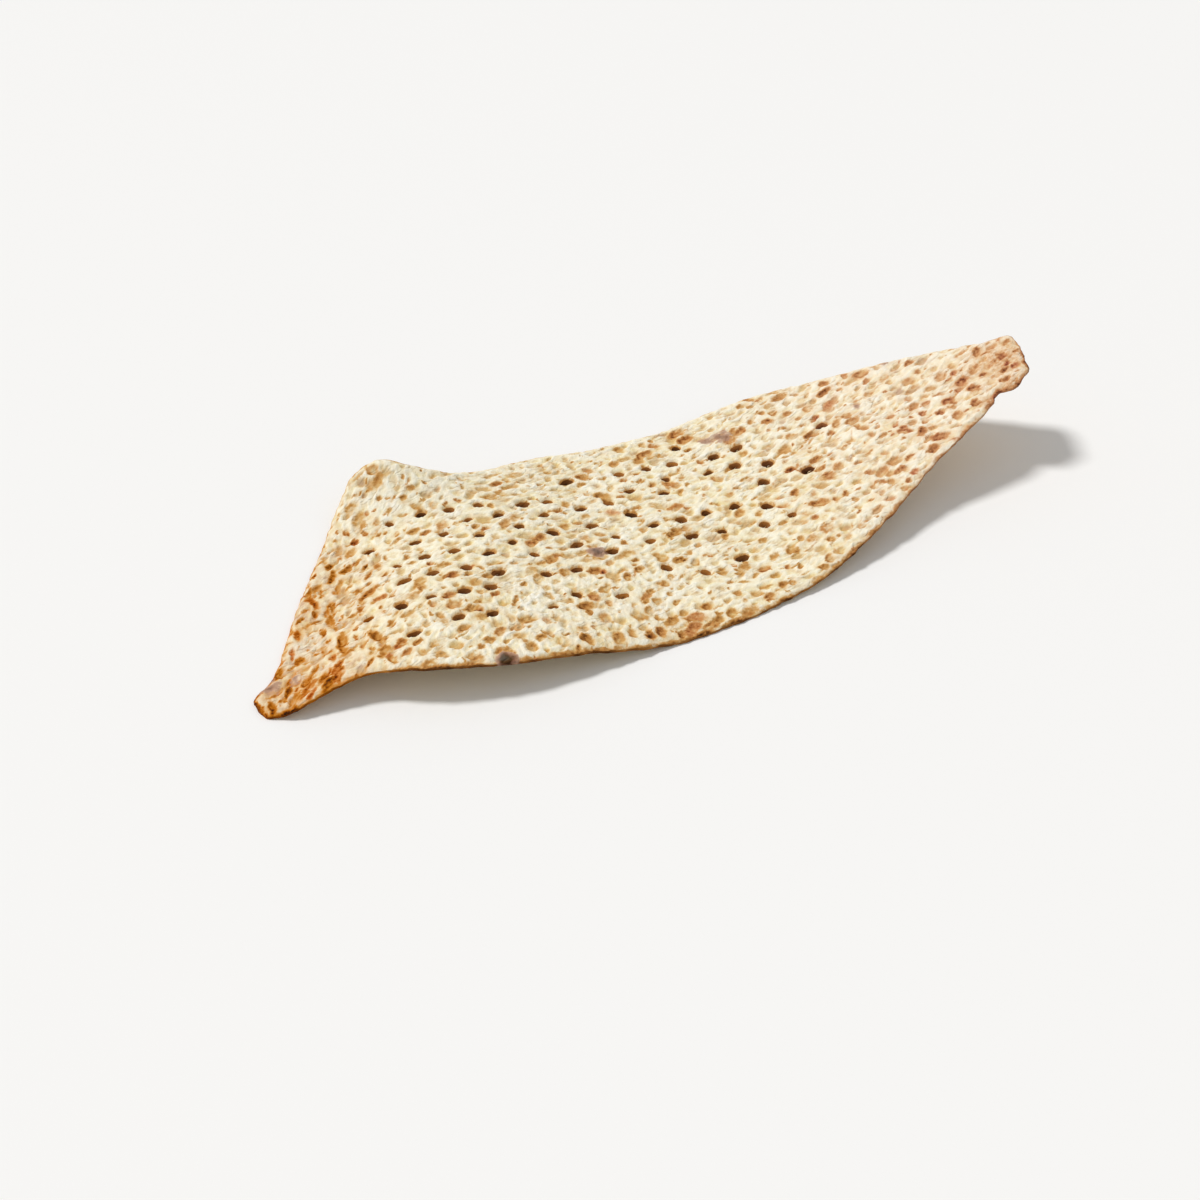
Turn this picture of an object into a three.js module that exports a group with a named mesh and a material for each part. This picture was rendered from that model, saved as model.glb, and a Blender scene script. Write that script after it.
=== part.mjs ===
// Sangak: a long, thin wheat flatbread baked on hot river pebbles, lying with its pebbled side up.
// One solid: a pitted sheet of dough pierced by rows of finger holes, broad and slanted at one end,
// tapering to a tip that curls up at the other. Millimetres, +Z up; the bread's length runs along X.
import * as THREE from "three";

// Thickness of the dough
const WEB_THICKNESS = 4.6; // on the webs between the pits
const RIM_THICKNESS = 2.8; // at the crisp outer edge and round the holes
const WEB_UNEVEN = 0.5; // the webs rise and fall by this much

// Pebble pits, one at every third point of a triangular lattice
const PIT_PITCH = 14.6;
const PIT_DEPTH_LEAST = 0.9;
const PIT_DEPTH_MOST = 2.2;
const LATTICE_STEP = PIT_PITCH / Math.sqrt(3);
const LATTICE_ROW = (LATTICE_STEP * Math.sqrt(3)) / 2;
const LATTICE_JITTER = 0.2 * LATTICE_STEP;
const LATTICE_SPARE = 4; // rows and columns that lie beyond the edge

// Finger holes, pressed in short rows that rise towards the back: each row's ends and its holes
const HOLE_ROWS = [
  { from: [-7, 99], to: [116, 92], holes: 5 },
  { from: [-47, 101], to: [69, 118], holes: 2 },
  { from: [-217, 79], to: [-104, 78], holes: 5 },
  { from: [-3, 76], to: [102, 69], holes: 4 },
  { from: [127, 63], to: [191, 81], holes: 2 },
  { from: [-187, 45], to: [-74, 69], holes: 5 },
  { from: [-243, 46], to: [-157, 31], holes: 4 },
  { from: [-130, 37], to: [19, 64], holes: 5 },
  { from: [-130, 15], to: [-20, 40], holes: 4 },
  { from: [103, 31], to: [150, 20], holes: 2 },
  { from: [-231, 8], to: [-158, 6], holes: 4 },
  { from: [-121, -13], to: [-10, 13], holes: 4 },
  { from: [17, 10], to: [98, 1], holes: 4 },
  { from: [-228, -22], to: [-161, -20], holes: 4 },
  { from: [-14, -18], to: [114, -26], holes: 5 },
  { from: [-270, -50], to: [-187, -52], holes: 4 },
  { from: [-157, -47], to: [-50, -24], holes: 4 },
  { from: [-19, -57], to: [41, -66], holes: 3 },
  { from: [-240, -104], to: [-65, -76], holes: 6 },
];
const HOLE_WANDER = 2.5; // how far a finger strays from its row
const HOLE_APART = 1.5 * PIT_PITCH; // least distance from one hole to the next
const HOLE_RADIUS_LEAST = 3.6;
const HOLE_RADIUS_MOST = 5.9;
const HOLE_STRETCH_LEAST = 0.88; // the pulled dough draws most holes out lengthwise and a few crosswise
const HOLE_STRETCH_MOST = 1.3;
const HOLE_LIE = 22; // degrees from the bread's length to the direction of that pull
const HOLE_LIE_SPREAD = 12;
const HOLE_TAPER = 0.35; // a fingertip leaves the hole this much narrower below

// The edge as it was pulled out by hand: a smooth closed curve through these points
const BROAD_END = [
  [-188, 136], [-211, 144], [-237, 137], [-262, 105], [-280, 69],
  [-319, -12], [-341, -65], [-354, -91], [-368, -104], [-370, -114], [-364, -129],
];
const FRONT_EDGE = [
  [-343, -136], [-314, -132], [-286, -132], [-250, -146], [-186, -158], [-113, -155],
  [-27, -148], [50, -131], [102, -114], [162, -84], [233, -39], [283, -15], [309, -3],
];
const TIP_WITH_NOTCH = [
  [320, 8], [325, 12], [330, 12], [336, 7], [344, 8], [357, 17], [366, 36], [370, 46], [370, 53],
  [369, 64], [368, 71], [362, 77],
];
const BACK_EDGE = [
  [327, 99], [288, 120], [220, 147], [165, 160], [102, 159], [60, 155], [-2, 148],
  [-79, 147], [-150, 132],
];
const EDGE_SAMPLES = 600;
const EDGE_REACH = 0.35 * LATTICE_STEP; // lattice points nearer the edge than this slide onto it

// How the sheet lies: a belly on the table, an arch up to the drooping broad end, and a lifted tip
const BELLY_X = 15;
const TIP_X = 370;
const TIP_LIFT = 86;
const TIP_CURVE = 1.7; // exponent: the curl steepens towards the tip
const END_X = -372; // the broad end's front corner, from which its slant is measured
const END_Y = -130;
const END_SLANT = 0.55; // X gained for each millimetre of Y along the broad end
const ARCH_FRONT = 30; // height of the arch at the front edge
const ARCH_BACK = 4; // and at the back edge
const ARCH_SKEW = 0.7; // under 1 puts the crest nearer the broad end
const HALF_WIDTH = 161;
const CORNER = { x: -208, y: 163, curl: 36, reach: 42 }; // the back corner turns up
const RIPPLE = { height: 1.4, alongX: 27, alongY: 33 };
const SETTLE = 1.5; // the weight of the bread presses this much of the belly flat

const BREAD_COLOUR = 0xe5cca2;
const BREAD_ROUGHNESS = 0.85;

const UP = new THREE.Vector3(0, 0, 1);

// Repeatable chance, so that every build gives the same bread
let chanceState = 20461;
function chance() {
  chanceState = (Math.imul(chanceState, 1664525) + 1013904223) >>> 0;
  return chanceState / 2 ** 32;
}
const between = (least, most) => least + (most - least) * chance();

// Height of the underside over the table
function drape(x, y) {
  const towardsTip = Math.max((x - BELLY_X) / (TIP_X - BELLY_X), 0);
  const tip = TIP_LIFT * towardsTip ** TIP_CURVE;

  const endX = END_X + (y - END_Y) * END_SLANT;
  const alongArch = THREE.MathUtils.clamp((x - endX) / (BELLY_X - endX), 0, 1);
  const frontness = THREE.MathUtils.clamp(0.5 - (0.5 * y) / HALF_WIDTH, 0, 1);
  const crest = THREE.MathUtils.lerp(ARCH_BACK, ARCH_FRONT, frontness);
  const arch = crest * Math.sin(Math.PI * alongArch ** ARCH_SKEW) ** 2;

  const fromCorner = Math.hypot(x - CORNER.x, y - CORNER.y) / CORNER.reach;
  const curl = CORNER.curl * Math.exp(-0.5 * fromCorner ** 2);
  const ripple = RIPPLE.height * Math.sin(x / RIPPLE.alongX) * Math.sin(y / RIPPLE.alongY);
  return Math.max(tip + arch + curl + ripple - SETTLE, 0);
}

// The edge as a closed polygon, its nearest point to a place, and whether that place is inside
const edgeCurve = new THREE.CatmullRomCurve3(
  [...BROAD_END, ...FRONT_EDGE, ...TIP_WITH_NOTCH, ...BACK_EDGE].map(([x, y]) => new THREE.Vector3(x, y, 0)),
  true,
  "centripetal",
);
const edge = edgeCurve.getSpacedPoints(EDGE_SAMPLES).slice(0, EDGE_SAMPLES);

function nearestOnEdge(place) {
  const side = new THREE.Line3();
  const candidate = new THREE.Vector3();
  const nearest = { point: new THREE.Vector3(), distance: Infinity, inside: false };
  edge.forEach((start, i) => {
    const end = edge[(i + 1) % edge.length];
    side.set(start, end).closestPointToPoint(place, true, candidate);
    const distance = candidate.distanceTo(place);
    if (distance < nearest.distance) {
      nearest.distance = distance;
      nearest.point.copy(candidate);
    }
    const crosses = start.y > place.y !== end.y > place.y;
    const crossingX = start.x + ((place.y - start.y) / (end.y - start.y)) * (end.x - start.x);
    if (crosses && place.x < crossingX) nearest.inside = !nearest.inside;
  });
  return nearest;
}

// A plane grid sheared by half a step a row is a lattice of equal triangles
function pebbleLattice() {
  const rows = Math.ceil((2 * HALF_WIDTH) / LATTICE_ROW) + LATTICE_SPARE;
  const columns = Math.ceil((2 * TIP_X + (rows * LATTICE_STEP) / 2) / LATTICE_STEP) + LATTICE_SPARE;
  const grid = new THREE.PlaneGeometry(columns * LATTICE_STEP, rows * LATTICE_ROW, columns, rows);
  const points = [];
  for (let k = 0; k < grid.attributes.position.count; k++) {
    const point = new THREE.Vector3().fromBufferAttribute(grid.attributes.position, k);
    const column = k % (columns + 1);
    const row = Math.floor(k / (columns + 1));
    point.x += (row - rows / 2) * (LATTICE_STEP / 2) + between(-LATTICE_JITTER, LATTICE_JITTER);
    point.y += between(-LATTICE_JITTER, LATTICE_JITTER);
    points.push({ place: point, foot: point, isPit: (column + 2 * row) % 3 === 0, onRim: false });
  }
  const triangles = [];
  const index = grid.index.array;
  for (let i = 0; i < index.length; i += 3) triangles.push([index[i], index[i + 1], index[i + 2]]);
  return { points, triangles };
}

// Cuts the lattice to the edge: points that fall near it slide onto it, and the rest outside go
function cutToEdge(lattice) {
  for (const point of lattice.points) {
    const nearest = nearestOnEdge(point.place);
    point.nearest = nearest.point;
    point.within = nearest.inside && nearest.distance >= EDGE_REACH;
    point.onRim = nearest.inside && !point.within;
  }
  const kept = lattice.triangles.filter((corners) => corners.some((k) => lattice.points[k].within));
  for (const k of kept.flat()) {
    const point = lattice.points[k];
    if (!point.within) point.onRim = true;
  }
  for (const point of lattice.points) if (point.onRim) point.place.copy(point.nearest);
  return { points: lattice.points, triangles: kept };
}

// Finds the pits that fingers pressed right through, each well clear of the others and of the rim
function pickHoles(lattice) {
  const usable = new Map();
  for (const corners of lattice.triangles)
    for (const k of corners) usable.set(k, (usable.get(k) ?? []).concat(corners));
  const isFree = (k, taken) =>
    lattice.points[k].isPit &&
    usable.get(k).every((n) => lattice.points[n].within) &&
    taken.every((t) => lattice.points[t].place.distanceTo(lattice.points[k].place) > HOLE_APART);

  const holes = [];
  for (const row of HOLE_ROWS) {
    const start = new THREE.Vector3(...row.from, 0);
    const end = new THREE.Vector3(...row.to, 0);
    for (let i = 0; i < row.holes; i++) {
      const finger = start.clone().lerp(end, i / (row.holes - 1));
      finger.x += between(-HOLE_WANDER, HOLE_WANDER);
      finger.y += between(-HOLE_WANDER, HOLE_WANDER);
      let best = null;
      for (const k of usable.keys()) {
        const away = lattice.points[k].place.distanceTo(finger);
        if (away < PIT_PITCH && (best === null || away < best.away) && isFree(k, holes)) best = { k, away };
      }
      if (best) holes.push(best.k);
    }
  }
  return holes;
}

// Opens each hole: its middle goes, and the ring of points round it closes in to the hole's size
function pierce(lattice, holes) {
  const middles = new Set(holes);
  for (const middle of holes) {
    const centre = lattice.points[middle].place;
    const radius = between(HOLE_RADIUS_LEAST, HOLE_RADIUS_MOST);
    const stretch = between(HOLE_STRETCH_LEAST, HOLE_STRETCH_MOST);
    const lie = THREE.MathUtils.degToRad(HOLE_LIE + between(-HOLE_LIE_SPREAD, HOLE_LIE_SPREAD));
    const ring = new Set(lattice.triangles.filter((corners) => corners.includes(middle)).flat());
    ring.delete(middle);
    for (const k of ring) {
      const spoke = lattice.points[k].place.clone().sub(centre).setLength(radius);
      spoke.applyAxisAngle(UP, -lie);
      spoke.set(spoke.x * stretch, spoke.y / stretch, 0).applyAxisAngle(UP, lie);
      lattice.points[k].place.copy(centre).add(spoke);
      lattice.points[k].foot = lattice.points[k].place.clone().lerp(centre, HOLE_TAPER);
      lattice.points[k].onRim = true;
    }
  }
  const triangles = lattice.triangles.filter((corners) => !corners.some((k) => middles.has(k)));
  return { points: lattice.points, triangles };
}

// Thickens the cut and pierced lattice into a closed sheet: pitted top, plain underside, walls at the rims
function sheetGeometry(lattice) {
  const numberOf = new Map();
  const positions = [];
  for (const k of lattice.triangles.flat()) {
    if (numberOf.has(k)) continue;
    numberOf.set(k, positions.length / 3);
    const { place, foot, isPit, onRim } = lattice.points[k];
    const underside = drape(foot.x, foot.y);
    const web = WEB_THICKNESS + between(-WEB_UNEVEN, WEB_UNEVEN);
    const pit = isPit ? between(PIT_DEPTH_LEAST, PIT_DEPTH_MOST) : 0;
    const thickness = onRim ? RIM_THICKNESS : web - pit;
    positions.push(place.x, place.y, underside + thickness, foot.x, foot.y, underside);
  }
  const top = (k) => numberOf.get(k);
  const bottom = (k) => numberOf.get(k) + 1;

  const faces = [];
  const edges = new Set();
  for (const [a, b, c] of lattice.triangles) {
    faces.push(top(a), top(b), top(c), bottom(c), bottom(b), bottom(a));
    for (const [from, to] of [[a, b], [b, c], [c, a]]) edges.add(`${from},${to}`);
  }
  for (const key of edges) {
    const [from, to] = key.split(",").map(Number);
    if (edges.has(`${to},${from}`)) continue;
    faces.push(top(from), bottom(from), bottom(to), top(from), bottom(to), top(to));
  }
  const geometry = new THREE.BufferGeometry();
  geometry.setAttribute("position", new THREE.Float32BufferAttribute(positions, 3));
  geometry.setIndex(faces);
  geometry.computeVertexNormals();
  return geometry;
}

const lattice = cutToEdge(pebbleLattice());
const dough = pierce(lattice, pickHoles(lattice));
const crust = new THREE.MeshStandardMaterial({
  color: BREAD_COLOUR,
  roughness: BREAD_ROUGHNESS,
  metalness: 0,
});
const sheet = new THREE.Mesh(sheetGeometry(dough), crust);
sheet.name = "sangak_sheet";

// The origin is on the table, under the middle of the bread's box
const box = new THREE.Box3().setFromObject(sheet);
const middle = box.getCenter(new THREE.Vector3());
sheet.position.set(-middle.x, -middle.y, -box.min.z);

const sangak = new THREE.Group();
sangak.add(sheet);
export default sangak;
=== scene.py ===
import math
import random
from collections import namedtuple

import bmesh
import bpy
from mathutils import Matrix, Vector, geometry, kdtree, noise


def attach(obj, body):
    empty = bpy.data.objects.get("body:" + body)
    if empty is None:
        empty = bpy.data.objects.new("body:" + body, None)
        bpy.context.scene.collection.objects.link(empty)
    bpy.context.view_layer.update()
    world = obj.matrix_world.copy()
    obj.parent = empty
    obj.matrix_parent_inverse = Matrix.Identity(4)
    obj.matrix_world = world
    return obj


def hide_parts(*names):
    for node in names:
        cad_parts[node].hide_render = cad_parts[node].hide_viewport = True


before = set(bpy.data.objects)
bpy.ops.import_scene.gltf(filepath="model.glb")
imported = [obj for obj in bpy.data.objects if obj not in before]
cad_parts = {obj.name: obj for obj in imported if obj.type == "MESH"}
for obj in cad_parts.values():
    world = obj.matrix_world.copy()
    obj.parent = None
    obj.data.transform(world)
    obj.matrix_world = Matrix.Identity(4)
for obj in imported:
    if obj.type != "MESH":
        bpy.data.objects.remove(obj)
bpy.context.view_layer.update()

# The view. The camera stands in front of the bread, a little to its left and well above it,
# with a normal 50 mm lens, and aims at the table just before the bread's middle.
MM = 0.001
LENS = 50.0
SENSOR = 36.0
AZIMUTH = math.radians(-20)
ELEVATION = math.radians(36)
STAND_OFF = 1351.3 * MM
AIM = Vector((-82.1, -74.0, 0)) * MM

camera = bpy.data.objects.new("camera", bpy.data.cameras.new("camera"))
bpy.context.collection.objects.link(camera)
camera.data.lens = LENS
camera.data.sensor_width = SENSOR
towards_camera = Vector((
    math.sin(AZIMUTH) * math.cos(ELEVATION),
    -math.cos(AZIMUTH) * math.cos(ELEVATION),
    math.sin(ELEVATION),
))
camera.location = AIM + towards_camera * STAND_OFF
camera.rotation_euler = (-towards_camera).to_track_quat("-Z", "Y").to_euler()
bpy.context.scene.camera = camera
bpy.context.scene.view_settings.view_transform = "Standard"

# The bread. Wet wheat dough is stretched over a bed of hot pebbles and bakes in minutes: every pebble
# presses a pit and toasts it, the webs between stay pale and floury, and fingertips leave rows of holes.
# The piece is a copy of the solid with its pitted side cut finer, so that each pit and wrinkle is shape.
CUTS = 5
CUTS_BELOW = 2
STEEP = 0.3
MERGE = 0.01 * MM
DIGITS = 7
LAYERS = ("toasting", "baked", "tone", "relief", "hue", "richness", "scorch", "upper")

dough = bmesh.new()
dough.from_mesh(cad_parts["sangak_sheet"].data)
layer = {name: dough.verts.layers.float.new(name) for name in LAYERS}
wall = dough.faces.layers.float.new("wall")
bmesh.ops.remove_doubles(dough, verts=dough.verts, dist=MERGE)
dough.normal_update()


def on_table(place):
    return Vector((place.x, place.y, 0))


def tree_of(places):
    tree = kdtree.KDTree(len(places))
    for i, place in enumerate(places):
        tree.insert(on_table(place), i)
    tree.balance()
    return tree


def ease(low, high, x):
    t = min(max((x - low) / (high - low), 0), 1)
    return t * t * (3 - 2 * t)


def faces_down(v):
    return any(f.normal.z < -STEEP for f in v.link_faces)


# The pitted side is laid down on the underside. Where it was thinner than all around, a pebble pressed.
lower = [v for v in dough.verts if faces_down(v)]
above = [v for v in dough.verts if not faces_down(v)]
feet = tree_of([v.co for v in lower])
for v in above:
    v[layer["upper"]] = 1.0
for f in dough.faces:
    f[wall] = float(0 < sum(v[layer["upper"]] for v in f.verts) < 3)
thickness = {v: v.co.z - lower[feet.find(on_table(v.co))[1]].co.z for v in above}
inside = {v for v in above if not any(f[wall] for f in v.link_faces)}
pressed = []
for v in inside:
    around = [thickness[n] for n in (e.other_vert(v) for e in v.link_edges) if n in inside]
    if around and thickness[v] < min(around):
        pressed.append((v.co.x, v.co.y))
pressed.sort()
for v in above:
    v.co.z -= thickness[v]
corners = {v.co.to_tuple(DIGITS) for v in dough.verts}
fine = [e for e in dough.edges if all(v[layer["upper"]] for v in e.verts)]
rims_below = [
    e for e in dough.edges
    if not any(v[layer["upper"]] for v in e.verts) and any(f[wall] for f in e.link_faces)
]
bmesh.ops.subdivide_edges(dough, edges=rims_below, cuts=CUTS_BELOW)
bmesh.ops.subdivide_edges(dough, edges=fine, cuts=CUTS, use_grid_fill=True)

# The rims as closed runs, each rounded off through the solid's own corners: the two longest are the
# bread's outline above and below, the others are finger holes
beside = {}
for e in dough.edges:
    if len({f[wall] for f in e.link_faces}) == 2:
        for v in e.verts:
            beside.setdefault(v, []).append(e.other_vert(v))
runs = []
walked = set()
for start in beside:
    if start in walked or start.co.to_tuple(DIGITS) not in corners:
        continue
    run, behind, ahead = [start], start, beside[start][0]
    while ahead != start:
        run.append(ahead)
        first, second = beside[ahead]
        behind, ahead = ahead, second if first == behind else first
    walked.update(run)
    runs.append(run)
    step = CUTS + 1 if start[layer["upper"]] else CUTS_BELOW + 1
    knots = [v.co.copy() for v in run[::step]]
    for k in range(len(knots)):
        before, knot, following, after = (knots[(k + j) % len(knots)] for j in (-1, 0, 1, 2))
        curve = geometry.interpolate_bezier(
            knot, knot + (following - before) / 6, following - (after - knot) / 6, following, step + 1)
        for v, place in zip(run[k * step + 1 :], curve[1:-1]):
            v.co = place
runs.sort(key=len, reverse=True)

# The tip was torn off the dough, which left two sharp corners and a lobe below its notch. Each is a place
# on the table, how far it was pulled out, and its reach, all in millimetres.
TORN_CORNERS = [
    ((368, 66), (2.4, 1.7, 3.0), 20),
    ((361, 19), (2.2, -0.8, 0), 12),
    ((318, 3), (2.4, -0.9, 0), 9),
]
for v in dough.verts:
    for (x, y), pulled, reach in TORN_CORNERS:
        off = on_table(v.co) - Vector((x, y, 0)) * MM
        v.co += Vector(pulled) * MM * ease(reach * MM, 0, off.length)
outline = runs[0]
finger_holes = [run for run in runs[1:] if run[0][layer["upper"]]]
outline_tree = tree_of([v.co for v in outline])
hole_rims = [(number, v.co.copy()) for number, run in enumerate(finger_holes) for v in run]
hole_tree = tree_of([place for _, place in hole_rims])
hole_centres = [sum((on_table(v.co) for v in run), Vector()) / len(run) for run in finger_holes]

# How the sheet differs from place to place: it was drawn out slantwise at the broad end and along the
# front, baked hardest at the broad end and palest towards the tip, and caught the heat at some spots.
# A spot is its place on the table and its reach, in millimetres, and its strength.
PULL = math.radians(14)
PULL_AT_END = math.radians(66)
BROAD_END = -228 * MM
BROAD_END_SLANT = 0.15
CENTRE_LINE_SLOPE = 0.17
HOT_SPOTS = [
    (-350, -115, 55, 0.7), (348, 46, 75, 1), (340, 14, 30, 1), (314, 2, 24, 1),
    (-40, -146, 60, 0.6), (-316, -36, 14, 0.9),
]
# The strongest scorch, on the front edge at (-186, -156), is dark enough to be partly a painted shadow
# under that edge
SCORCHES = [
    (-65, -20, 10, 1.15), (105, 113, 13, 0.75), (90, 116, 9, 0.6), (-356, -101, 12, 0.7),
    (-336, -100, 8, 0.5), (-186, -156, 10, 2.0), (224, 80, 6, 0.7), (273, 121, 5, 0.9),
]


def past_broad_end(place):
    return place.x - BROAD_END - BROAD_END_SLANT * place.y


def broad_endness(place):
    return ease(30 * MM, -90 * MM, past_broad_end(place))


def back_corner(place):
    return broad_endness(place) * ease(10 * MM, 110 * MM, place.y)


def tipness(place):
    return ease(60 * MM, 270 * MM, place.x)


def frontness(place):
    return ease(20 * MM, -60 * MM, place.y - CENTRE_LINE_SLOPE * place.x)


def turning(place):
    at_end = ease(80 * MM, -40 * MM, past_broad_end(place))
    return max(at_end, frontness(place) * ease(60 * MM, -120 * MM, place.x))


def pull_at(place):
    return PULL + (PULL_AT_END - PULL) * turning(place)


def nearness(place, spots):
    return max(
        strength * (1 - (place - Vector((x, y, 0)) * MM).length / (reach * MM))
        for x, y, reach, strength in spots)


# Pits: the pebbles' own, some of them doubled, then small ones that grit left on the webs, and creases of
# the stretched dough, which are long thin pits whose light toasting is also a painted shade in the
# groove. Each has a centre, a long and a short half, a lie, a depth, a toasting, its darker side, which
# lies mostly towards the lamp and is partly toast and partly a painted shade on the pit wall facing away
# from the light, a paler middle and a tint, from reddish to golden.
PIT_WANDER = 1.7 * MM
PIT_SIZE = 3.45 * MM
PIT_SIZE_MOST = 6.0 * MM
PIT_SIZE_SPREAD = 0.38
PIT_DEPTH = 0.8, 2.1
PIT_STRETCH = 1.0, 2.0
PIT_STRETCH_AT_END = 3.2
PIT_HOLLOW = 0.9
TOAST_MOST = 0.9
DOUBLED = 0.2
DOUBLE_SIZE = 0.65
DOUBLE_DEPTH = 0.8
DOUBLE_APART = 1.3
UNTOASTED = 0.16
UNTOASTED_TOAST = 0.06
FINGER_DINT = 0.07
FINGER_DINT_REACH = 20 * MM
FINGER_DINT_TOAST = 0.85
FINGER_DINT_DEPTH = 2.2 * MM
FINGER_DINT_STRETCH = 1.5
# The pits' darker side lies mostly towards the lamp: partly toast, partly painted shade on the pit wall
# away from the light
TOAST_AND_SHADE_SIDE = math.radians(150)
TOAST_AND_SHADE_SIDE_SPREAD = 55
SPECKS = 1300
SPECK_SIZE = 0.9, 2.2
SPECK_STRETCH = 1.0, 4.0
SPECK_DEPTH = 0.2, 0.7
CREASES = 520
CREASE_LIE = math.radians(26)
CREASE_SIZE = 2.2, 3.2
CREASE_STRETCH = 4, 7
CREASE_DEPTH = 0.5, 1.1
CREASE_TOAST_AND_SHADE = 0.12, 0.36
SEED = 7
Pit = namedtuple("Pit", "centre long short lie depth toast side hollow tint")
chance = random.Random(SEED)
noise.seed_set(SEED)


def pit_at(place, size, stretch, lie, depth, toast, hollow):
    draw = math.sqrt(stretch)
    toast = min(max(toast, 0), TOAST_MOST)
    side = TOAST_AND_SHADE_SIDE + math.radians(chance.gauss(0, TOAST_AND_SHADE_SIDE_SPREAD)) - lie
    return Pit(place, size * draw, size / draw, lie, depth, toast, side, hollow, chance.gauss(0, 1))


pits = []
for x, y in pressed:
    place = Vector((x + chance.gauss(0, PIT_WANDER), y + chance.gauss(0, PIT_WANDER), 0))
    streak = broad_endness(place)
    cool = back_corner(place)
    near_rim = ease(28 * MM, 8 * MM, outline_tree.find(place)[2]) * frontness(place)
    warm = 0.26 * noise.noise(place / (48 * MM)) + 0.18 * noise.noise(place / (22 * MM))
    warm += 0.28 * near_rim + 0.24 * max(nearness(place, HOT_SPOTS), 0)
    toast = (0.83 + 0.62 * streak - 0.8 * cool) * chance.betavariate(1.6, 2.1) + warm
    size = PIT_SIZE * (1 + 0.08 * streak + 0.3 * near_rim - 0.35 * cool)
    size = min(size * math.exp(chance.gauss(0, PIT_SIZE_SPREAD)), PIT_SIZE_MOST)
    stretch = chance.uniform(*PIT_STRETCH) + chance.uniform(0, PIT_STRETCH_AT_END) * (streak - cool)
    lie = pull_at(place) + math.radians(chance.gauss(0, 30 - 14 * streak))
    depth = chance.uniform(*PIT_DEPTH) * MM
    if chance.random() < UNTOASTED:
        toast = UNTOASTED_TOAST
    elif chance.random() < FINGER_DINT and hole_tree.find(place)[2] < FINGER_DINT_REACH:
        toast, depth, stretch, lie = FINGER_DINT_TOAST, FINGER_DINT_DEPTH, FINGER_DINT_STRETCH, PULL
    pits.append(pit_at(place, size, stretch, lie, depth, toast, chance.uniform(0, PIT_HOLLOW)))
    if chance.random() < DOUBLED:
        turn = chance.uniform(0, math.tau)
        beside_it = place + Vector((math.cos(turn), math.sin(turn), 0)) * DOUBLE_APART * size
        its_toast = toast + chance.uniform(-0.2, 0.2)
        pits.append(pit_at(
            beside_it, DOUBLE_SIZE * size, stretch, lie, DOUBLE_DEPTH * depth, its_toast, 0.0))
places = sorted((v.co.x, v.co.y, 0) for v in dough.verts if v[layer["upper"]])
for place in map(Vector, chance.sample(places, SPECKS)):
    lie = pull_at(place) + math.radians(chance.gauss(0, 20))
    toast = chance.betavariate(1.3, 2.6) * (0.8 + 0.5 * broad_endness(place))
    size = chance.uniform(*SPECK_SIZE) * MM
    stretch = chance.uniform(*SPECK_STRETCH)
    depth = chance.uniform(*SPECK_DEPTH) * MM
    pits.append(pit_at(place, size, stretch, lie, depth, toast, 0.0))
for place in map(Vector, chance.sample(places, CREASES)):
    streak = broad_endness(place)
    if chance.random() < 0.35 + 0.65 * streak:
        size = chance.uniform(*CREASE_SIZE) * MM
        lie = CREASE_LIE + math.radians(chance.gauss(0, 14))
        toast = chance.uniform(*CREASE_TOAST_AND_SHADE) + 0.2 * streak - 0.1 * back_corner(place)
        stretch = chance.uniform(*CREASE_STRETCH)
        depth = chance.uniform(*CREASE_DEPTH) * MM
        pits.append(pit_at(place, size, stretch, lie, depth, toast, 0.0))
pit_tree = tree_of([pit.centre for pit in pits])

# What the pits round a place do to it: how deep it sank, how far it toasted, with a faint halo round each
# mark, and the tint of the strongest mark. The pits' edges are ragged, coarsely and finely: each is the
# size of the ragged bits and how far they stray, in millimetres.
PITS_NEAR = 10
RAGGED = (7, 2.0), (2.8, 0.8)


def pits_round(here):
    ragged_here = here.copy()
    for bit, stray in RAGGED:
        ragged_here += on_table(noise.noise_vector(here / (bit * MM))) * stray * MM
    sunk, strongest, halo, tint = 0.0, 0.0, 0.0, 0.0
    for _, i, _ in pit_tree.find_n(here, PITS_NEAR):
        pit = pits[i]
        off = ragged_here - pit.centre
        along = (off.x * math.cos(pit.lie) + off.y * math.sin(pit.lie)) / pit.long
        across = (off.y * math.cos(pit.lie) - off.x * math.sin(pit.lie)) / pit.short
        out = math.hypot(along, across)
        sunk = max(sunk, pit.depth * ease(1.35, 0.45, out))
        # A mark darkens towards its pit's darker side: partly toast, partly painted shade
        side = along * math.cos(pit.side) + across * math.sin(pit.side)
        mark = ease(1.45, 0.6, out) * (1 - pit.hollow * ease(0.85, 0.15, out)) * ease(-1.6, 0.9, side)
        if pit.toast * mark > strongest:
            strongest, tint = pit.toast * mark, pit.tint
        halo = max(halo, pit.toast * ease(2.5, 0.8, out))
    return sunk, 0.75 * strongest + 0.18 * halo, tint * ease(0, 0.25, strongest)


# Wrinkles run along the pull, as ridges with finer ridges between them
WRINKLE = 1.1 * MM
WRINKLE_LONG = 15 * MM
WRINKLE_WIDE = 7 * MM


def wrinkles(here, pull):
    along = (here.x * math.cos(pull) + here.y * math.sin(pull)) / WRINKLE_LONG
    across = (here.y * math.cos(pull) - here.x * math.sin(pull)) / WRINKLE_WIDE
    folds = Vector((along, across, 0))
    ridge = 1 - min(abs(noise.noise(folds)) / 0.32, 1)
    finer = 1 - min(abs(noise.noise(2.2 * folds)) / 0.35, 1)
    return WRINKLE * (ridge + 0.5 * finer)
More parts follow.
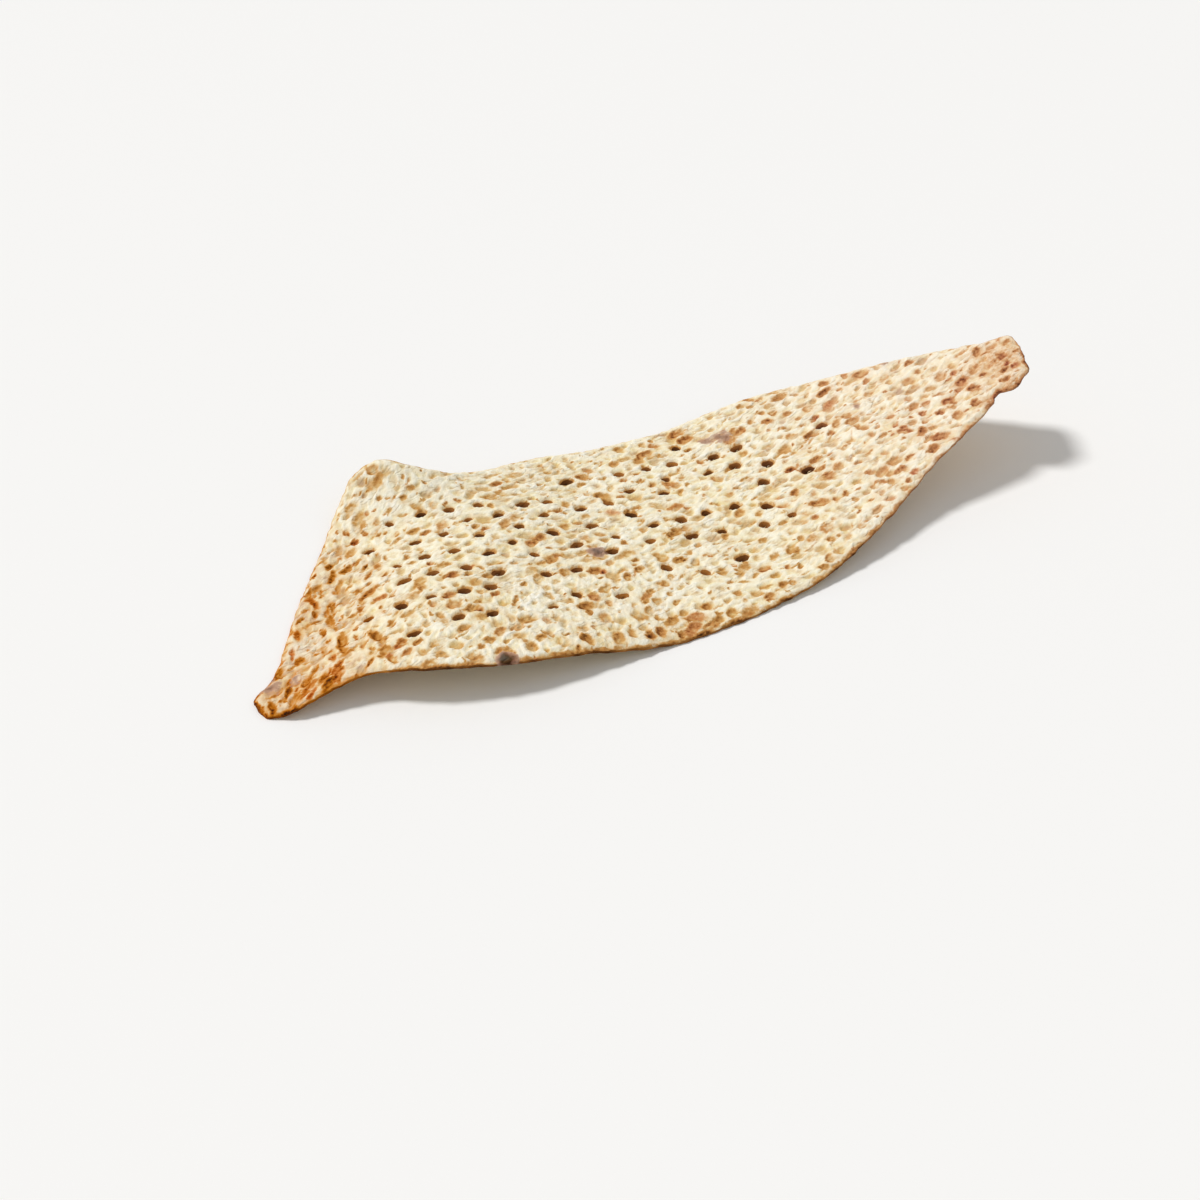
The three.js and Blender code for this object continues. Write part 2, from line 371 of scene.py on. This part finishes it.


# Every place gets its thickness and how far it toasted. A fingertip leaves its hole much narrower below.
# The walls of holes and rims bake brown, and are painted darker at the foot, in holes nearly black, which
# is painted shade inside them;
# rims are also darker along the front, partly a painted shadow under the front edge.
WEB = 4.1 * MM
RIM = 2.1 * MM
RIM_WIDTH = 6.0 * MM
THINNEST = 1.1 * MM
EDGE_WANDER = 1.3 * MM
EDGE_WANDER_REACH = 9 * MM
SWELL = 0.6 * MM
SWELL_SIZE = 12 * MM
UNDERSIDE_TOAST = 0.06
HOLE_NARROWING = 0.88, 0.96
lips = []
for _ in finger_holes:
    lip_toast = chance.betavariate(1.6, 1.6)
    lip_side = chance.uniform(0, math.tau)
    lips.append((lip_toast, lip_side, chance.uniform(*HOLE_NARROWING)))
for v in dough.verts:
    here = on_table(v.co)
    edge = outline_tree.find(here)[2]
    _, i, to_hole = hole_tree.find(here)
    number = hole_rims[i][0]
    middle = hole_centres[number]
    lip_toast, lip_side, narrowing = lips[number]
    on_wall = any(f[wall] for f in v.link_faces)
    on_hole = on_wall and to_hole < edge
    wander = noise.noise_vector(here / (10 * MM)) + 0.5 * noise.noise_vector(here / (4 * MM))
    v.co += on_table(wander) * EDGE_WANDER * ease(EDGE_WANDER_REACH, 0, edge)
    patchy = min(max(0.6 + 0.9 * noise.noise(here / (16 * MM)), 0.15), 1)
    tip = tipness(here)
    front = frontness(here)
    # Rims browner along the front: partly baking, partly a painted shadow under the front edge
    rim_bake_and_shadow = 0.36 * patchy + 0.3 * noise.noise(here / (5 * MM)) + 0.12 * front - 0.25 * tip
    ends = broad_endness(here) - 0.6 * back_corner(here)
    v[layer["richness"]] = 1 + 0.12 * ends - 0.06 * tip
    v[layer["hue"]] = 0.5 - 0.013 * ends - 0.012 * tip
    v[layer["tone"]] = 0.29 * ends + 0.06 * tip
    if not v[layer["upper"]]:
        swell = max(0.5 + 0.5 * noise.fractal(v.co / SWELL_SIZE, 0.8, 2.0, 2), 0)
        v.co.z += SWELL * swell
        v[layer["toasting"]] = UNDERSIDE_TOAST
        # Rim feet painted darker than their tops, partly a painted shadow at the foot
        v[layer["baked"]] = 0.42 + rim_bake_and_shadow
        v[layer["scorch"]] = nearness(here, SCORCHES) if on_wall else 0
        if on_hole:
            v.co = v.co.lerp(Vector((middle.x, middle.y, v.co.z)), narrowing)
            # Hole walls nearly black at the foot: a painted shade inside the hole
            v[layer["baked"]] = 0.75 + 0.25 * lip_toast
        continue

    sunk, toasted, tint = pits_round(here)
    from_middle = here - middle
    facing = 0.5 + 0.5 * math.cos(math.atan2(from_middle.y, from_middle.x) - lip_side)
    lip = ease(0.6 * MM + 3.6 * MM * lip_toast * facing, 0, to_hole) * (0.15 + 0.35 * lip_toast)
    hot = max(nearness(here, HOT_SPOTS), 0)
    reach = (2.2 + 2.6 * front + 3.0 * noise.noise(here / (7 * MM))) * MM
    rim_heat = ease(reach, 0, edge) * patchy * (0.4 + 0.35 * front + 0.8 * hot - 0.3 * tip)
    turned = turning(here)
    raised = wrinkles(here, PULL) * (1 - turned) + wrinkles(here, PULL_AT_END) * turned
    raised += 0.5 * MM * noise.noise(here / (11 * MM)) - sunk

    toasted += 0.26 * hot * hot * (1 - toasted)
    v[layer["toasting"]] = max(toasted, lip, rim_heat)
    v[layer["baked"]] = 0.54 + 0.3 * lip_toast if on_hole else 0.3 + rim_bake_and_shadow
    v[layer["relief"]] = raised / MM
    v[layer["hue"]] += 0.0055 * min(tint, 0.4)
    v[layer["scorch"]] = nearness(here, SCORCHES)
    rim = RIM * (1 + 0.5 * noise.noise(here / (6 * MM)))
    body = ease(-0.3 * RIM_WIDTH, RIM_WIDTH, min(edge, 3 * to_hole))
    v.co.z += max(rim + (WEB + raised - rim) * body, THINNEST)
bmesh.ops.recalc_face_normals(dough, faces=dough.faces)

# The underside turns crisply into the walls of holes and rims
for e in dough.edges:
    turns = len({f[wall] for f in e.link_faces}) == 2
    e.smooth = not turns or any(v[layer["upper"]] for v in e.verts)

bread_mesh = bpy.data.meshes.new("sangak")
dough.to_mesh(bread_mesh)
dough.free()
bread_mesh.shade_smooth()
bread = bpy.data.objects.new("sangak", bread_mesh)
bpy.context.collection.objects.link(bread)


def paint(code):
    channels = [int(code[i : i + 2], 16) / 255 for i in (1, 3, 5)]
    return [c / 12.92 if c <= 0.04045 else ((c + 0.055) / 1.055) ** 2.4 for c in channels] + [1]


def add(material, kind, inputs, **settings):
    node = material.node_tree.nodes.new("ShaderNode" + kind)
    for name, value in settings.items():
        setattr(node, name, value)
    for name, value in inputs.items():
        if isinstance(value, bpy.types.Node):
            value = next(socket for socket in value.outputs if socket.enabled)
        if isinstance(value, bpy.types.NodeSocket):
            material.node_tree.links.new(value, node.inputs[name])
        else:
            node.inputs[name].default_value = value
    return node


# Baked wheat crust: a dry matt skin. The webs are floury and near white where they stand up, and painted
# beige where they sink, a painted shade in the hollows; the pits over them run from gold through
# orange-brown to nearly black.
WEBS = [(0.0, "#fdf8e8"), (0.3, "#f5eacb"), (0.6, "#e8d4a8"), (1.0, "#cbaa77")]
TOASTS = [
    (0.0, "#e2bf83"), (0.2, "#d6a968"), (0.4, "#c28b4c"),
    (0.6, "#a0672e"), (0.8, "#683d18"), (1.0, "#2a1706"),
]
SCORCHED = [(0.0, "#d2ad95"), (0.25, "#bf9880"), (0.5, "#a07862"), (0.8, "#684638"), (1.0, "#38210f")]
GRAIN_SIZE = 1.5 * MM
CRUMB_SIZE = 3.2 * MM
FLOUR_SIZE = 6.0 * MM
CREAM_SIZE = 14.0 * MM
OVEN_SIZE = 45.0 * MM
FOLD_LIE = math.radians(22)
FOLD_LONG = 15 * MM
FOLD_WIDE = 6 * MM
ROUGH_HEIGHT = 0.9 * MM
crust = bpy.data.materials.new("baked_wheat_crust")
crust.use_nodes = True
crust.node_tree.nodes.clear()
where = add(crust, "TexCoord", {}).outputs["Object"]
toasting, baked, tone, relief, hue, richness, scorch, upper, wall_part = (
    add(crust, "Attribute", {}, attribute_name=name).outputs["Fac"] for name in (*LAYERS, "wall"))
grain = add(crust, "TexNoise", {"Vector": where, "Scale": 1 / GRAIN_SIZE, "Detail": 3.0})
crumb = add(crust, "TexNoise", {"Vector": where, "Scale": 1 / CRUMB_SIZE, "Detail": 3.0})
flour = add(crust, "TexNoise", {"Vector": where, "Scale": 1 / FLOUR_SIZE, "Detail": 3.0})
cream = add(crust, "TexNoise", {"Vector": where, "Scale": 1 / CREAM_SIZE, "Detail": 2.0})
oven = add(crust, "TexNoise", {"Vector": where, "Scale": 1 / OVEN_SIZE, "Detail": 2.0})

# Fine folds in the skin that come and go, drawn along the pull
drawn = add(crust, "VectorRotate", {"Vector": where, "Angle": -FOLD_LIE}, rotation_type="Z_AXIS")
drawn = add(crust, "VectorMath", {0: drawn, 1: (1 / FOLD_LONG, 1 / FOLD_WIDE, 0)}, operation="MULTIPLY")
fold = add(crust, "TexNoise", {"Vector": drawn, "Scale": 1.0, "Detail": 1.0})
fold = add(crust, "Math", {0: fold, 1: 0.5}, operation="SUBTRACT")
fold = add(crust, "Math", {0: fold}, operation="ABSOLUTE")
fold = add(crust, "MapRange", {
    "Value": fold, "From Min": 0.09, "From Max": 0.0, "To Min": 0.0, "To Max": 1.0,
}, interpolation_type="SMOOTHSTEP")
broken = add(crust, "MapRange", {
    "Value": cream, "From Min": 0.45, "From Max": 0.6, "To Min": 0.0, "To Max": 1.0,
}, interpolation_type="SMOOTHSTEP")
crease = add(crust, "Math", {0: fold, 1: broken}, operation="MULTIPLY")

# The webs' tone: darker in what sank and in creases, which is painted shade, and deeper towards the broad
# end
low = add(crust, "MapRange", {
    "Value": relief, "From Min": 1.2, "From Max": -1.4, "To Min": 0.0, "To Max": 0.75,
}, interpolation_type="SMOOTHSTEP")
dusted = add(crust, "MapRange", {
    "Value": flour, "From Min": 0.3, "From Max": 0.7, "To Min": 0.22, "To Max": -0.06,
})
warmth = add(crust, "MapRange", {
    "Value": oven, "From Min": 0.3, "From Max": 0.7, "To Min": 0.0, "To Max": 0.15,
})
web = add(crust, "Math", {0: low, 1: dusted}, operation="ADD")
web = add(crust, "Math", {0: web, 1: warmth}, operation="ADD")
web = add(crust, "Math", {0: web, 1: tone}, operation="ADD")
# Creases painted darker on the webs: a painted shade in the folds
web = add(crust, "Math", {0: crease, 1: 0.2, 2: web}, operation="MULTIPLY_ADD")

# The toasted marks, uneven within and fading into the webs. The underside, which faced the open oven,
# browned in loose blotches, and the walls of holes and rims are plain brown, with painted shade at their
# foot.
uneven = add(crust, "MapRange", {
    "Value": crumb, "From Min": 0.3, "From Max": 0.7, "To Min": 0.58, "To Max": 1.36,
})
blotch = add(crust, "MapRange", {
    "Value": cream, "From Min": 0.48, "From Max": 0.8, "To Min": 0.0, "To Max": 0.5,
}, interpolation_type="SMOOTHSTEP")
below = add(crust, "Math", {0: 1.0, 1: upper}, operation="SUBTRACT")
blotch = add(crust, "Math", {0: blotch, 1: below}, operation="MULTIPLY")
heat = add(crust, "Math", {0: toasting, 1: blotch}, operation="MAXIMUM")
heat = add(crust, "Math", {0: heat, 1: uneven}, operation="MULTIPLY")
brown_wall = add(crust, "Math", {0: baked, 1: wall_part}, operation="MULTIPLY")
heat = add(crust, "Math", {0: heat, 1: brown_wall}, operation="MAXIMUM")
cover = add(crust, "MapRange", {
    "Value": heat, "From Min": 0.0, "From Max": 0.32, "To Min": 0.0, "To Max": 1.0,
}, interpolation_type="SMOOTHSTEP")

# The three scales of colour. Webs are creamier and rosier in patches, marks are reddish or golden, and
# all is rosier towards both ends. Scorches have ragged edges, dusty pink at first and umber within.
ragged = add(crust, "Math", {0: flour, 1: 1.2, 2: scorch}, operation="MULTIPLY_ADD")
burnt = add(crust, "MapRange", {
    "Value": ragged, "From Min": 0.65, "From Max": 1.8, "To Min": 0.0, "To Max": 1.0,
})
scales = []
for amount, colours in ((web, WEBS), (heat, TOASTS), (burnt, SCORCHED)):
    scale = add(crust, "ValToRGB", {"Fac": amount})
    stops = scale.color_ramp.elements
    while len(stops) < len(colours):
        stops.new(1.0)
    for stop, (position, code) in zip(stops, colours):
        stop.position = position
        stop.color = paint(code)
    scales.append(scale)
web_colour, toast_colour, scorch_colour = scales
creamy = add(crust, "MapRange", {
    "Value": cream, "From Min": 0.3, "From Max": 0.7, "To Min": 1.2, "To Max": 0.8,
})
tinged = add(crust, "MapRange", {
    "Value": flour, "From Min": 0.3, "From Max": 0.7, "To Min": -0.011, "To Max": 0.009,
})
web_hue = add(crust, "Math", {0: hue, 1: tinged}, operation="ADD")
web_colour = add(crust, "HueSaturation", {"Color": web_colour, "Hue": web_hue, "Saturation": creamy})
toast_colour = add(crust, "HueSaturation", {"Color": toast_colour, "Hue": hue, "Saturation": richness})
colour = add(crust, "Mix", {"Factor": cover, "A": web_colour, "B": toast_colour}, data_type="RGBA")
scorched = add(crust, "MapRange", {
    "Value": ragged, "From Min": 0.65, "From Max": 1.0, "To Min": 0.0, "To Max": 0.9,
}, interpolation_type="SMOOTHSTEP")
colour = add(crust, "Mix", {"Factor": scorched, "A": colour, "B": scorch_colour}, data_type="RGBA")

# The crumb's roughness under a dull skin
rough = add(crust, "Math", {0: crumb, 1: 1.2, 2: grain}, operation="MULTIPLY_ADD")
rough = add(crust, "Math", {0: crease, 1: -0.7, 2: rough}, operation="MULTIPLY_ADD")
bump = add(crust, "Bump", {"Height": rough, "Strength": 0.7, "Distance": ROUGH_HEIGHT})
surface = add(crust, "BsdfPrincipled", {
    "Base Color": colour, "Roughness": 0.9, "Specular IOR Level": 0.12, "Normal": bump,
})
add(crust, "OutputMaterial", {"Surface": surface})
bread.data.materials.append(crust)
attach(bread, "root")
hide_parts("sangak_sheet")

# The floor. A wide plain board under the bread, painted a matt off-white that shows no grain
# and takes soft shadows.
FLOOR_HALF = 8.0
board = bmesh.new()
bmesh.ops.create_grid(board, x_segments=1, y_segments=1, size=FLOOR_HALF)
floor_mesh = bpy.data.meshes.new("floor")
board.to_mesh(floor_mesh)
board.free()
floor = bpy.data.objects.new("floor", floor_mesh)
bpy.context.collection.objects.link(floor)
matt_paint = bpy.data.materials.new("matt_off_white_paint")
matt_paint.use_nodes = True
matt_paint.node_tree.nodes["Principled BSDF"].inputs["Base Color"].default_value = paint("#f7f6f4")
matt_paint.node_tree.nodes["Principled BSDF"].inputs["Roughness"].default_value = 0.9
floor.data.materials.append(matt_paint)

# The light. One soft lamp high up behind and to the left, so wide that its shadows have no hard edge,
# and white walls all round that fill them.
LAMP_FROM = Vector((-0.65, 0.45, 1.1))
LAMP_WIDTH = math.radians(12)
LAMP_STRENGTH = 2.17
ROOM_STRENGTH = 0.44
lamp = bpy.data.objects.new("lamp", bpy.data.lights.new("lamp", "SUN"))
lamp.data.energy = LAMP_STRENGTH
lamp.data.angle = LAMP_WIDTH
lamp.rotation_euler = (-LAMP_FROM).to_track_quat("-Z", "Y").to_euler()
bpy.context.collection.objects.link(lamp)
world = bpy.data.worlds.new("room")
bpy.context.scene.world = world
world.use_nodes = True
world.node_tree.nodes["Background"].inputs["Color"].default_value = (1, 1, 1, 1)
world.node_tree.nodes["Background"].inputs["Strength"].default_value = ROOM_STRENGTH
